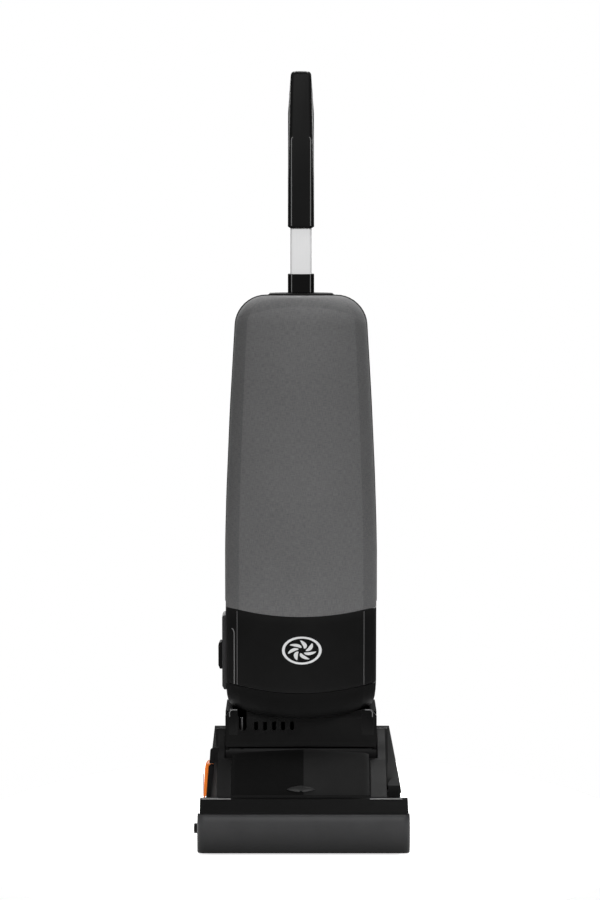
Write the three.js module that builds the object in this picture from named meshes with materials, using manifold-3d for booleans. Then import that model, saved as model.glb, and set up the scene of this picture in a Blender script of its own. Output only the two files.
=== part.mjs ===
// Battery-powered upright vacuum cleaner with a soft bag case.
// Millimetres, +Z up, the front towards -Y, the origin on the floor under the middle of the machine.
import * as THREE from 'three';
import { mergeVertices } from 'three/addons/utils/BufferGeometryUtils.js';
import Module from 'manifold-3d';

const wasm = await Module();
wasm.setup();

// ---- driving dimensions ----
const GAP = 0.3; // between parts that touch
const WALL = 3; // moulded shell

// The bag case and the black housings below and behind it share one outline.
const CASE = {
  halfWidth: 119.6, straightTo: 443, taper: 0.0026, taperPower: 1.477,
  front: -85, lean: 16, crease: 0.82, sagitta: 30, sideBand: 75, corner: 45,
  bottom: 241, fabricFrom: 362, top: 859, split: 36, back: 98,
};
const HINGE = { y: 20, z: 125, drum: 60, half: 119.6, bore: 12 }; // recline axis, along X
const TRUNK = { front: -46, under: -34, lip: 149, back: 82, top: 197, earTop: 204 };
const BOWL = { bottom: 197.5, back: 88 };
const HEAD = { left: -150, right: 158, front: -128, back: 142, bottom: 5, split: 64 };
const BUMPER = { left: -161, right: 169, front: -152, back: -118, bottom: 3, top: 65 };
const LID = { left: -108, right: 107 }; // centre cover in the deck
const DECK = { front: -117, frontZ: 84, rear: -52, rearZ: 131 }; // sloping top in front of the neck
const BRUSH = { y: -85, z: 30, core: 17, tip: 28, left: -146, right: 131, hole: 29 };
const DRIVE = { y: -75, z: 84, motor: 18, pulley: 8, brushPulley: 14, left: 141, right: 149 };
const WHEEL = { y: 110, radius: 27, inner: 90, outer: 112, axle: 4 };
const MOTOR = { y: -25, radius: 42, cup: 48, cupTop: 350 };
const LOCK = { x: -93.5, y: -34, radius: 2.8, bottom: 150, top: 194 };
const RISER = { x: 66, y: 58, outer: 16, inner: 14 };
const LOOM = { x: -60, y: 50, radius: 3 };
const TUBE = { y: 80, halfX: 17, halfY: 11, wall: 1.5, bottom: 790, top: 1020 };
const VENTS = { first: -71, pitch: 14.2, count: 5, half: 3.1, bottom: 175, top: 189 };
const LOCK_SLOT = { x: -92, half: 6, bottom: 174, top: 199 };
const BADGE = { halfX: 31, halfZ: 22, z: 310 };
const GRIP = { half: 21, bottom: 965, shoulder: 1150, top: 1213, topHalf: 12.5 };
const COLLAR = { bottom: 862.3, top: 892, half: 21, front: 62, back: 98, screwZ: 877 };
const BATTERY = { half: 41, front: 71, back: 112, bottom: 297, top: 475, bayTop: 486 };
const DOOR = { y0: 40, y1: 86, z0: 224, z1: 345, inner: -120.2, outer: -127 };
const PEDAL = { x0: 127, x1: 152, hingeY: 114, hingeZ: 75.5, rear: 150 };

// ---- solids ----
function solidOf(geometry) {
  const bare = geometry.clone();
  bare.deleteAttribute('normal');
  bare.deleteAttribute('uv');
  const merged = mergeVertices(bare, 1e-4);
  return new wasm.Manifold(new wasm.Mesh({
    numProp: 3,
    vertProperties: merged.attributes.position.array,
    triVerts: new Uint32Array(merged.index.array),
  }));
}

function geometryOf(solid) {
  const mesh = solid.getMesh();
  const geometry = new THREE.BufferGeometry();
  geometry.setAttribute('position', new THREE.BufferAttribute(mesh.vertProperties, 3));
  geometry.setIndex(new THREE.BufferAttribute(mesh.triVerts, 1));
  const faceted = geometry.toNonIndexed();
  faceted.computeVertexNormals();
  return faceted;
}

const union = (...solids) => solids.reduce((whole, next) => whole.add(next));
const cut = (solid, ...tools) => tools.reduce((rest, tool) => rest.subtract(tool), solid);

function block([x0, x1], [y0, y1], [z0, z1]) {
  const geometry = new THREE.BoxGeometry(x1 - x0, y1 - y0, z1 - z0);
  geometry.translate((x0 + x1) / 2, (y0 + y1) / 2, (z0 + z1) / 2);
  return solidOf(geometry);
}

// A round bar along one axis; `at` holds its other two coordinates in X, Y, Z order.
function bar(axis, radius, from, to, at, sides = 24) {
  const geometry = new THREE.CylinderGeometry(radius, radius, to - from, sides);
  const middle = (from + to) / 2;
  if (axis === 'x') geometry.rotateZ(-Math.PI / 2).translate(middle, at[0], at[1]);
  if (axis === 'y') geometry.translate(at[0], middle, at[1]);
  if (axis === 'z') geometry.rotateX(Math.PI / 2).translate(at[0], at[1], middle);
  return solidOf(geometry);
}

const ring = (axis, outer, inner, from, to, at, sides = 24) =>
  bar(axis, outer, from, to, at, sides).subtract(bar(axis, inner, from - 1, to + 1, at, sides));

const X_AXIS = new THREE.Vector3(1, 0, 0);
const Y_AXIS = new THREE.Vector3(0, 1, 0);
const Z_AXIS = new THREE.Vector3(0, 0, 1);

// An outline pushed along one axis; its points are the other two coordinates in X, Y, Z order.
function prism(axis, outline, from, to) {
  const shape = new THREE.Shape(outline.map(([u, v]) => new THREE.Vector2(u, v)));
  const geometry = new THREE.ExtrudeGeometry(shape, { depth: to - from, bevelEnabled: false });
  const turn = new THREE.Matrix4();
  if (axis === 'x') turn.makeBasis(Y_AXIS, Z_AXIS, X_AXIS).setPosition(from, 0, 0);
  if (axis === 'y') turn.makeBasis(X_AXIS, Z_AXIS, Y_AXIS.clone().negate()).setPosition(0, to, 0);
  if (axis === 'z') turn.makeTranslation(0, 0, from);
  return solidOf(geometry.applyMatrix4(turn));
}

// A solid through level rings of [x, y, z] points, listed upwards, each counter-clockwise from above.
function loft(rings, placing = new THREE.Matrix4()) {
  const count = rings[0].length;
  const centre = (points) => points
    .reduce((sum, p) => sum.map((value, i) => value + p[i] / count), [0, 0, 0]);
  const faces = [];
  for (let level = 0; level + 1 < rings.length; level += 1) {
    for (let i = 0; i < count; i += 1) {
      const next = (i + 1) % count;
      const [a, b] = [rings[level][i], rings[level][next]];
      const [c, d] = [rings[level + 1][next], rings[level + 1][i]];
      faces.push(a, b, c, a, c, d);
    }
  }
  const [low, high] = [rings[0], rings[rings.length - 1]];
  for (let i = 0; i < count; i += 1) {
    const next = (i + 1) % count;
    faces.push(low[next], low[i], centre(low));
    faces.push(high[i], high[next], centre(high));
  }
  const geometry = new THREE.BufferGeometry();
  geometry.setAttribute('position', new THREE.Float32BufferAttribute(faces.flat(), 3));
  return solidOf(geometry.applyMatrix4(placing));
}

const oval = (halfX, halfY, sides = 24) => Array.from({ length: sides }, (_, i) => {
  const angle = (2 * Math.PI * i) / sides;
  return [halfX * Math.cos(angle), halfY * Math.sin(angle)];
});

const ovalBar = (halfX, halfY, from, to) =>
  prism('z', oval(halfX, halfY).map(([x, y]) => [x, y + TUBE.y]), from, to);

// ---- the shared outline of the case ----
const rounding = (z) => {
  const rise = Math.min(Math.max(0, z - (CASE.top - CASE.corner)), CASE.corner);
  return CASE.corner - Math.sqrt(CASE.corner ** 2 - rise ** 2);
};
const halfWidth = (z) =>
  CASE.halfWidth - CASE.taper * Math.max(0, z - CASE.straightTo) ** CASE.taperPower - rounding(z);
const frontY = (z) =>
  CASE.front + (CASE.lean * Math.max(0, z - CASE.fabricFrom)) / (CASE.top - CASE.fabricFrom)
  + 0.7 * rounding(z);

// One level of the case: a bowed front between two creases, side bands and a straight back.
function caseRing(z, inset, back, shapeZ = z) {
  const wide = halfWidth(shapeZ) - inset;
  const crease = wide * CASE.crease;
  const front = frontY(shapeZ) + inset;
  const sideY = Math.min(front + CASE.sideBand, back - 2);
  const creaseY = front + CASE.sagitta;
  const points = [];
  for (let i = -4; i <= 4; i += 1) {
    points.push([(crease * i) / 4, front + CASE.sagitta * (i / 4) ** 2, z]);
  }
  const bend = [crease + 0.72 * (wide - crease), creaseY + 0.4 * (sideY - creaseY)];
  points.push([bend[0], bend[1], z], [wide, sideY, z], [wide, back, z]);
  points.push([-wide, back, z], [-wide, sideY, z], [-bend[0], bend[1], z]);
  return points;
}

const FABRIC_LEVELS = [443, 540, 620, 690, 750, 800, 822, 838, 849, 856, CASE.top];

// The case's volume between two heights; the inset moves every wall inwards.
function caseVolume(bottom, top, inset, back) {
  const levels = FABRIC_LEVELS.map((z) => z - inset).filter((z) => z > bottom && z < top);
  return loft([bottom, ...levels, top].map((z) => caseRing(z, inset, back, z + inset)));
}

function bowlRing(z, inset, back) {
  const points = caseRing(z, inset, back - 20, CASE.bottom);
  const wide = CASE.halfWidth - inset;
  points.splice(12, 0, [wide - 16, back, z], [-(wide - 16), back, z]);
  return points;
}

function backRing(z, inset, front, shapeZ = z) {
  const wide = halfWidth(shapeZ) - 1.5 - inset;
  const back = CASE.back - inset;
  return [[-wide, front, z], [wide, front, z], [wide, back - 20, z], [wide - 10, back - 6, z],
    [wide - 26, back, z], [26 - wide, back, z], [10 - wide, back - 6, z], [-wide, back - 20, z]];
}

// ---- look of each material ----
const MATERIALS = {
  fabric: [0x616161, 0.95, 0],
  gloss: [0x141414, 0.2, 0],
  matte: [0x1e1e1e, 0.55, 0],
  bumper: [0x3c3d3e, 0.5, 0],
  door: [0x3a3a3b, 0.5, 0],
  orange: [0xe67d32, 0.4, 0],
  aluminium: [0xdcdde0, 0.35, 1],
  steel: [0xb0b3b8, 0.3, 1],
  rubber: [0x191919, 0.85, 0],
  paper: [0xd9d2c0, 0.95, 0],
  foam: [0x4a5560, 0.95, 0],
  bristle: [0x2a2a2c, 0.9, 0],
  emblem: [0xd5d6d8, 0.35, 0.4],
  circuit: [0x1f5a38, 0.5, 0],
};

const group = new THREE.Group();

function add(name, look, solid) {
  const [color, roughness, metalness] = MATERIALS[look];
  const material = new THREE.MeshStandardMaterial({ color, roughness, metalness });
  const mesh = new THREE.Mesh(geometryOf(solid), material);
  mesh.name = name;
  group.add(mesh);
}

const SIDES = [['left', -1], ['right', 1]];
const span = (side, near, far) => (side < 0 ? [-far, -near] : [near, far]);

// ---- floor head: base, cover, bumper ----
function headBase() {
  const { left, right, front, back, bottom, split } = HEAD;
  const hull = block([left, right], [front, back], [bottom, split - GAP]);
  const hollow = block([left + 4, right - 4], [front + 4, back - 4], [bottom + 4, split + 1]);
  const mouth = block([-140, 146], [BRUSH.y - 25, BRUSH.y + 25], [0, bottom + 5]);
  const brushHole = bar('x', BRUSH.hole, left - 5, left + 10, [BRUSH.y, BRUSH.z], 32);
  const axleHole = bar('x', WHEEL.axle + 0.3, -122, 122, [WHEEL.y, WHEEL.radius]);
  let base = hull.subtract(hollow);
  SIDES.forEach(([, side]) => {
    [[84, 87.5], [114.5, 118]].forEach(([near, far]) => {
      base = base.add(block(span(side, near, far), [100, 120], [bottom + 2, 38]));
    });
  });
  SIDES.forEach(([, side]) => {
    const well = block(span(side, WHEEL.inner - 1.5, WHEEL.outer + 1.5), [80, back - 4.3], [0, 12]);
    base = base.subtract(well);
  });
  return cut(base, mouth, brushHole, axleHole);
}

const COVER_PROFILE = [
  [DECK.front, HEAD.split], [DECK.front, DECK.frontZ], [-84, 112], [DECK.rear, DECK.rearZ],
  [-24, 158], [-6, 170], [2, 173], [60, 160], [76, 154], [84, 146], [100, 106], [108, 68],
  [HEAD.back, 66], [HEAD.back, HEAD.split],
];

// The cover narrows upwards: its left and right edges at a low and a high level.
const COVER_EDGES = [[-152, 164, 50], [-137, 139, 180]];
const COVER_CORNERS = { left: 20, right: 26, straightFrom: 6 }; // both front corners slant back

// The cover's outer volume between two raked sides; the inset shrinks it for the hollow.
function coverVolume(inset) {
  const middleY = 12;
  const points = COVER_PROFILE.map(([y, z]) => [
    middleY + (y - middleY) * (1 - inset / 125),
    HEAD.split + (z - HEAD.split) * (1 - inset / 100) - (inset ? 2 : 0),
  ]);
  const body = prism('x', points, -160, 170);
  const rear = HEAD.back + 10;
  const plan = ([left, right, z]) => [
    [left + COVER_CORNERS.left, HEAD.front], [right - COVER_CORNERS.right, HEAD.front],
    [right, COVER_CORNERS.straightFrom], [right, rear], [left, rear],
    [left, COVER_CORNERS.straightFrom],
  ].map(([x, y]) => [x + (x < 0 ? inset : -inset), y, z]);
  return body.intersect(loft(COVER_EDGES.map(plan)));
}

// The room that the neck's back sweeps through as it reclines by 75 degrees.
const sweptRoom = (extra) => [[28, 62 - extra], [60, 69.5 - extra], [108, 81.5 - extra],
  [120 + extra, 95 - extra], [120 + extra, 200], [40, 200]];

function headCover() {
  const { y, z, drum, half } = HINGE;
  const reach = half + 0.8;
  const neckRoom = union(
    bar('x', drum + 2.5, -reach, reach, [y, z], 36),
    block([-reach, reach], [DECK.rear, 98], [DECK.rearZ, 200]),
    block([-reach, reach], [TRUNK.front - 1, 98], [z - 1, 200]),
    prism('x', sweptRoom(0), -reach, reach),
  );
  const keep = union(
    bar('x', drum + 5.5, -reach - WALL, reach + WALL, [y, z], 36),
    block([-reach - WALL, reach + WALL], [DECK.rear - WALL, 101], [DECK.rearZ - WALL, 200]),
    prism('x', sweptRoom(WALL), -reach - WALL, reach + WALL),
  );
  const lid = block([LID.left - GAP, LID.right + GAP], [-113.3, -57.7], [70, 140]);
  const buttonRoom = union(
    block([-160, -132], [-30.5, -1.5], [60, 121]),
    block([-160, -130], [-40, -1.5], [120, 137]), // finger room above the button
  );
  const beltGuard = block([136, 155], [-104, -56], [HEAD.split, 100]);
  const beltRoom = block([129, 152], [-101, -59], [60, 97]);
  let cover = coverVolume(0).subtract(coverVolume(WALL).subtract(keep)).add(beltGuard);
  cover = cut(cover, neckRoom, lid, buttonRoom, beltRoom);
  [[120.8, 126.5], [152.5, 157]].forEach((lug) => {
    cover = cover.add(block(lug, [PEDAL.hingeY - 5, PEDAL.hingeY + 5], [65.5, PEDAL.hingeZ + 5]));
  });
  const pinHole = bar('x', 2.8, 120, 158, [PEDAL.hingeY, PEDAL.hingeZ]);
  const pivotHole = bar('x', HINGE.bore + 0.3, -130, 130, [y, z]);
  return cut(cover, pinHole, pivotHole);
}

// The raised cover in front of the neck: a slope that swells towards its middle.
function centreCover() {
  const under = [[-113, 81], [-84, 108], [-58, 126], [-58, 129.2], [-53.5, 131.6]];
  const slope = [[-53.5, 141], [-62, 136], [-80, 123], [-98, 104], [-111, 86], [-113, 83]];
  const swell = [6, 6.5, 6, 5, 2, 0];
  const sections = 12;
  const rings = Array.from({ length: sections + 1 }, (_, i) => {
    const x = LID.left + ((LID.right - LID.left) * i) / sections;
    const share = 1 - ((2 * i) / sections - 1) ** 2;
    const top = slope.map(([y, z], k) => [y, z + swell[k] * share]);
    return [...under, ...top].map(([y, z]) => [y, z, x]);
  });
  const along = new THREE.Matrix4().makeBasis(Y_AXIS, Z_AXIS, X_AXIS);
  return loft(rings, along);
}

function bumper() {
  const { left, right, front, back, bottom, top } = BUMPER;
  const profile = [[front + 2, bottom + 4], [front + 6, bottom], [back, bottom], [back, top - 1],
    [front + 14, top - 1], [front + 5, top - 5], [front, top - 20]];
  const plan = [[left, back], [left, front + 12], [left + 4, front + 3.5], [left + 12, front],
    [right - 12, front], [right - 4, front + 3.5], [right, front + 12], [right, back]];
  const body = prism('x', profile, left, right).intersect(prism('z', plan, 0, top));
  const headRoom = block([HEAD.left - GAP, HEAD.right + GAP], [HEAD.front - GAP, 0], [0, top + 1]);
  return body.subtract(headRoom);
}

function trimBand() {
  const profile = [[-146, 65], [-144, 68], [-127, 84], [DECK.front - GAP, 84.5],
    [DECK.front - GAP, 65]];
  return prism('x', profile, -157, 166);
}

add('head_base', 'matte', headBase());
add('head_cover', 'gloss', headCover());
add('centre_cover', 'gloss', centreCover());
add('front_bumper', 'bumper', bumper());
add('front_trim_band', 'gloss', trimBand());

// ---- floor head: brush cartridge and its drive ----
function brushRoller() {
  const { y, z, core, tip, left, right } = BRUSH;
  const long = right - left;
  const star = [];
  const rows = 4;
  for (let row = 0; row < rows; row += 1) {
    const angle = (2 * Math.PI * row) / rows;
    [[tip, -0.08], [tip, 0.08], [core - 1, 0.2], [core - 1, 2 * Math.PI / rows - 0.2]]
      .forEach(([radius, turn]) => {
        star.push([radius * Math.cos(angle + turn), radius * Math.sin(angle + turn)]);
      });
  }
  const shape = new THREE.Shape(star.map(([u, v]) => new THREE.Vector2(u, v)));
  const steps = 24;
  const tufts = new THREE.ExtrudeGeometry(shape, { depth: long, steps, bevelEnabled: false });
  const place = tufts.attributes.position;
  for (let i = 0; i < place.count; i += 1) {
    const twist = (place.getZ(i) / long) * 1.5 * Math.PI;
    const [u, v] = [place.getX(i), place.getY(i)];
    place.setXY(i, u * Math.cos(twist) - v * Math.sin(twist), u * Math.sin(twist) + v * Math.cos(twist));
  }
  const frame = new THREE.Matrix4().makeBasis(Y_AXIS, Z_AXIS, X_AXIS).setPosition(left, y, z);
  return solidOf(tufts.applyMatrix4(frame)).add(bar('x', core, left, right, [y, z]));
}

// A belt's outline round two pulleys, grown by `extra`.
function beltOutline(extra) {
  const pulleys = [[DRIVE.y, DRIVE.z, DRIVE.pulley], [BRUSH.y, BRUSH.z, DRIVE.brushPulley]];
  const samples = 40;
  return Array.from({ length: samples }, (_, i) => {
    const angle = (2 * Math.PI * (i + 0.5)) / samples;
    const [c, s] = [Math.cos(angle), Math.sin(angle)];
    const reach = ([y, z, radius]) => y * c + z * s + radius;
    const [y, z, radius] = pulleys.reduce((best, one) => (reach(one) > reach(best) ? one : best));
    return [y + (radius + extra) * c, z + (radius + extra) * s];
  });
}

function brushTunnel() {
  const { y, z } = BRUSH;
  const end = BRUSH.right + 2.6;
  const half = (radius) => union(
    bar('x', radius, HEAD.left + 4.3, end, [y, z], 32),
    block([HEAD.left + 4.3, end], [y - radius, y + radius], [9 + GAP, z]),
  );
  const below = block([HEAD.left, 140], [y - 40, y + 40], [-10, 9 + GAP]);
  const outlet = block([-25, 25], [y + 20, y + 40], [15, 43]);
  const inner = union(
    bar('x', 31, HEAD.left, end - 2, [y, z], 32),
    block([HEAD.left, end - 2], [y - 31, y + 31], [0, z]),
  );
  const driveHole = bar('x', 10, end - 5, end + 5, [y, z]);
  return cut(half(33), inner, below, outlet, driveHole);
}

add('brush_tunnel', 'matte', brushTunnel());
add('brush_roller', 'bristle', brushRoller());
add('brush_end_cap', 'matte', union(
  bar('x', 26, HEAD.left - 7, HEAD.left + 3.5, [BRUSH.y, BRUSH.z], 32),
  bar('x', 8, -168, HEAD.left - 6, [BRUSH.y - 2, 28], 16),
));
add('brush_motor', 'steel', union(
  bar('x', DRIVE.motor, 20, 130, [DRIVE.y, DRIVE.z]),
  bar('x', 3, 125, 151, [DRIVE.y, DRIVE.z], 12),
));
add('motor_pulley', 'steel', ring('x', DRIVE.pulley - 0.4, 3.4, DRIVE.left, DRIVE.right,
  [DRIVE.y, DRIVE.z]));
add('drive_dog', 'matte', union(
  bar('x', DRIVE.brushPulley - 0.4, DRIVE.left, DRIVE.right, [BRUSH.y, BRUSH.z]),
  bar('x', 8, BRUSH.right + GAP, DRIVE.left + 1, [BRUSH.y, BRUSH.z]),
));
add('drive_belt', 'rubber', prism('x', beltOutline(2.5), DRIVE.left + 0.5, DRIVE.right - 0.5)
  .subtract(prism('x', beltOutline(0.2), DRIVE.left, DRIVE.right)));

function suctionDuct() {
  const outer = union(
    block([-28, 28], [-51.5, 34], [12, 46]),
    block([-28, 28], [8, 32], [40, 62]),
  );
  const inner = union(
    block([-26, 26], [-60, 32], [14, 44]),
    block([-26, 26], [10, 30], [40, 70]),
  );
  return outer.subtract(inner);
}
add('suction_duct', 'matte', suctionDuct());

// ---- floor head: wheels, glides, pins, button and pedal ----
add('wheel_axle', 'steel', bar('x', WHEEL.axle, -119, 119, [WHEEL.y, WHEEL.radius]));
SIDES.forEach(([name, side]) => {
  const { y, radius, inner, outer, axle } = WHEEL;
  const [from, to] = span(side, inner, outer);
  add(`rear_wheel_${name}`, 'rubber', ring('x', radius, axle + 0.3, from, to, [y, radius], 36));
  add(`front_glide_${name}`, 'rubber', union(
    block(span(side, 70, 120), [-54, -40], [0, 4.7]),
    block(span(side, 74, 116), [-56, -38], [2, 4.7]),
  ));
  const [pinFrom, pinTo] = span(side, 106, side < 0 ? 137 : 140);
  add(`pivot_pin_${name}`, 'steel', bar('x', HINGE.bore, pinFrom, pinTo, [HINGE.y, HINGE.z]));
});
const BUTTON = [[-155.5, 66.5], [-137, 66.5], [-137, 119.5], [-149, 119.5], [-152.6, 115]];
add('brush_release_button', 'orange', prism('y', BUTTON, -30, -2));
add('recline_pedal', 'matte', prism('x', [
  [PEDAL.hingeY - 4.5, 71.5], [PEDAL.rear, 71.5], [PEDAL.rear, 76], [PEDAL.hingeY + 8, 80],
  [PEDAL.hingeY - 4.5, 79.5],
], PEDAL.x0, PEDAL.x1).subtract(bar('x', 2.8, 120, 160, [PEDAL.hingeY, PEDAL.hingeZ])));
add('pedal_pin', 'steel', bar('x', 2.5, 121.5, 156.5, [PEDAL.hingeY, PEDAL.hingeZ], 12));

// ---- upright: neck and lower housing ----
const riserHole = (from, to) => bar('z', RISER.outer + 0.4, from, to, [RISER.x, RISER.y]);
const loomHole = (from, to) => bar('z', LOOM.radius + 0.6, from, to, [LOOM.x, LOOM.y], 12);

// The neck: a drum round the recline axis under a box with a front lip; the hollow is open above.
function neckVolume(inset) {
  const { y, z, drum, half } = HINGE;
  const [front, under, back] = [TRUNK.front + inset, TRUNK.under + inset, TRUNK.back - inset];
  const top = TRUNK.top + (inset ? 10 : 0);
  const side = [[under, z], [back, z], [back, top], [front, top], [front, TRUNK.lip + inset],
    [under, TRUNK.lip - 6 + inset]];
  return union(
    bar('x', drum - inset, inset - half, half - inset, [y, z], 36),
    prism('x', side, inset - half, half - inset),
  );
}

function neckHousing() {
  const slot = ({ half, bottom, top }, x) => union(
    block([x - half, x + half], [-50, -38], [bottom + half, top]),
    bar('y', half, -50, -38, [x, bottom + half], 16),
  );
  let neck = neckVolume(0).subtract(neckVolume(WALL));
  SIDES.forEach(([, side]) => {
    neck = neck.add(block(span(side, 110, HINGE.half), [TRUNK.front, 60], [190, TRUNK.earTop]));
  });
  SIDES.forEach(([, side]) => {
    const corner = (x, z, up) => prism('y', [[side * x, z], [side * (HINGE.half + 1), z],
      [side * (HINGE.half + 1), z + up]], -50, TRUNK.under);
    neck = cut(neck, corner(113, TRUNK.lip - 7, 12), corner(114, TRUNK.earTop + 0.1, -7));
  });
  for (let i = 0; i < VENTS.count; i += 1) {
    neck = neck.subtract(slot(VENTS, VENTS.first + VENTS.pitch * i));
  }
  const lockSlot = slot(LOCK_SLOT, LOCK_SLOT.x);
  const rodHole = bar('z', LOCK.radius + 0.5, 138, 158, [LOCK.x, LOCK.y]);
  const airWay = block([-26, 26], [HINGE.y - 14, 90], [60, 100]);
  const pivot = bar('x', HINGE.bore + 4.3, -130, 130, [HINGE.y, HINGE.z]);
  return cut(neck, lockSlot, rodHole, airWay, pivot);
}

function lowerHousing() {
  const { bottom, back } = BOWL;
  const outer = loft([[bottom, 28], [203, 12], [215, 4], [CASE.bottom, 0]]
    .map(([z, inset]) => bowlRing(z, inset, back - inset / 2)));
  const inner = loft([[bottom + 3.5, 30], [206, 16], [218, 7], [CASE.bottom - WALL, WALL]]
    .map(([z, inset]) => bowlRing(z, inset, back - inset / 2)));
  return cut(outer, inner, riserHole(190, 250), loomHole(190, 250));
}

add('neck_housing', 'gloss', neckHousing());
add('lower_housing', 'gloss', lowerHousing());
SIDES.forEach(([name, side]) => {
  const [from, to] = span(side, 112, HINGE.half);
  add(`pivot_bush_${name}`, 'bumper',
    ring('x', HINGE.bore + 4, HINGE.bore + 0.25, from, to, [HINGE.y, HINGE.z]));
});
add('lock_rod', 'steel', bar('z', LOCK.radius, LOCK.bottom, LOCK.top, [LOCK.x, LOCK.y], 12));

// ---- upright: back housing and what it holds ----
function backHousing() {
  const levels = [CASE.bottom + GAP, 362, ...FABRIC_LEVELS];
  const cap = [CASE.top + 3, 4];
  const outer = loft([...levels.map((z) => backRing(z, 0, CASE.split + GAP)),
    backRing(cap[0], cap[1], CASE.split + GAP, CASE.top)]);
  const inner = loft([245, 362, ...FABRIC_LEVELS.slice(0, -1)].map((z, i, all) => {
    const level = i + 1 < all.length ? z : z + 1;
    return backRing(level, WALL, CASE.split - 5, z);
  }));
  const { half, front, bottom, bayTop } = BATTERY;
  const bayWalls = block([-half - 4, half + 4], [front - 4, CASE.back], [bottom - 4, bayTop + 3]);
  const bay = block([-half - 1, half + 1], [front - 1, 120], [bottom - GAP, bayTop]);
  const tubeHole = ovalBar(TUBE.halfX + 0.4, TUBE.halfY + 0.4, 840, 880);
  const filterWindow = block([-130, -110], [46.7, 75.3], [252.7, 334.3]);
  return cut(outer, inner.subtract(bayWalls), bay, tubeHole, filterWindow,
    riserHole(235, 250), loomHole(235, 250));
}

add('back_housing', 'matte', backHousing());
add('motor_cup', 'matte', bar('z', MOTOR.cup, CASE.bottom + GAP, MOTOR.cupTop, [0, MOTOR.y], 36)
  .subtract(bar('z', MOTOR.cup - WALL, CASE.bottom + 4, MOTOR.cupTop + 1, [0, MOTOR.y], 36)));
add('suction_motor', 'steel', union(
  bar('z', MOTOR.radius, 246, 322, [0, MOTOR.y], 32),
  bar('z', 4, 320, 344, [0, MOTOR.y], 12),
));

function impeller() {
  const at = [0, MOTOR.y];
  let wheel = union(bar('z', 38, 328, 330.5, at, 32), bar('z', 9, 328, 340, at, 16));
  const blades = 8;
  for (let i = 0; i < blades; i += 1) {
    const blade = new THREE.BoxGeometry(28, 1.6, 10);
    blade.rotateZ(0.5).translate(22, 0, 335).rotateZ((2 * Math.PI * i) / blades);
    wheel = wheel.add(solidOf(blade.translate(0, MOTOR.y, 0)));
  }
  return wheel.subtract(bar('z', 4.4, 320, 350, at, 12));
}
add('impeller', 'aluminium', impeller());

const FLOOR_Z = 354;
add('compartment_floor', 'matte',
  loft([FLOOR_Z, FLOOR_Z + WALL].map((z) => caseRing(z, 16, CASE.split - 1, CASE.fabricFrom)))
    .subtract(bar('z', 24, 350, 360, [0, MOTOR.y])));
add('motor_filter', 'foam', block([-60, 60], [-62, 14], [FLOOR_Z + WALL + GAP, 366]));
add('filter_bag', 'paper', loft([[368, 34], [385, 22], [560, 15], [700, 15], [770, 20], [800, 34]]
  .map(([z, inset]) => caseRing(z, inset, 22, Math.min(z, 780)))));
add('bag_collar', 'paper', block([38, 90], [22.3, 25], [738, 794])
  .subtract(bar('y', RISER.inner, 20, 30, [RISER.x, 766])));
add('bag_holder', 'matte', block([36, 96], [37.5, 40.5], [722, 806])
  .subtract(bar('y', RISER.outer + 0.5, 30, 50, [RISER.x, 766])));

function riser() {
  const { x, y, outer, inner } = RISER;
  const elbow = 766;
  const pipe = (radius, low, end) => union(
    bar('z', radius, low, elbow, [x, y], 16),
    bar('y', radius, end, y, [x, elbow], 16),
    solidOf(new THREE.SphereGeometry(radius, 16, 12).translate(x, y, elbow)),
  );
  return pipe(outer, 150, 25.5).subtract(pipe(inner, 140, 15));
}
add('suction_riser', 'matte', riser());
add('wiring_loom', 'rubber', bar('z', LOOM.radius, 150, 352, [LOOM.x, LOOM.y], 12));
add('control_board', 'circuit', block([-96, -50], [86, 88], [360, 450]));
add('battery_contacts', 'steel', block([-15, 15], [58, 66.7], [304, 322]));

// ---- upright: exhaust filter behind its side door ----
add('exhaust_filter', 'paper', block([-116, -98], [47, 75], [253, 334]));
add('exhaust_door', 'door', prism('y', [[DOOR.inner, DOOR.z0], [DOOR.inner, DOOR.z1],
  [DOOR.outer + 2, DOOR.z1], [DOOR.outer, DOOR.z1 - 4], [DOOR.outer, DOOR.z0 + 6],
  [DOOR.outer + 3, DOOR.z0]], DOOR.y0, DOOR.y1));
add('door_latch', 'matte', prism('y', [[DOOR.outer - GAP, 256], [DOOR.outer - GAP, 300],
  [-131, 300], [-133.5, 294], [-133.5, 262], [-131, 256]], 50, 74));

// ---- upright: battery pack ----
function battery() {
  const { half, front, back, bottom, top } = BATTERY;
  const outline = [[-half, front], [half, front], [half, back - 8], [half - 8, back],
    [8 - half, back], [-half, back - 8]];
  const latchRoom = block([-12.5, 12.5], [83, 103], [top - 9, top + 1]);
  const fingerGrip = block([-28, 28], [back - 5, back + 5], [330, 352]);
  return cut(prism('z', outline, bottom, top), latchRoom, fingerGrip);
}
add('battery_pack', 'matte', battery());
add('battery_latch', 'bumper', block([-12, 12], [83.5, 102.5], [471, 480]));
add('latch_spring', 'steel', ring('z', 4.5, 3.2, 466.3, 470.7, [0, 93], 16));

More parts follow.
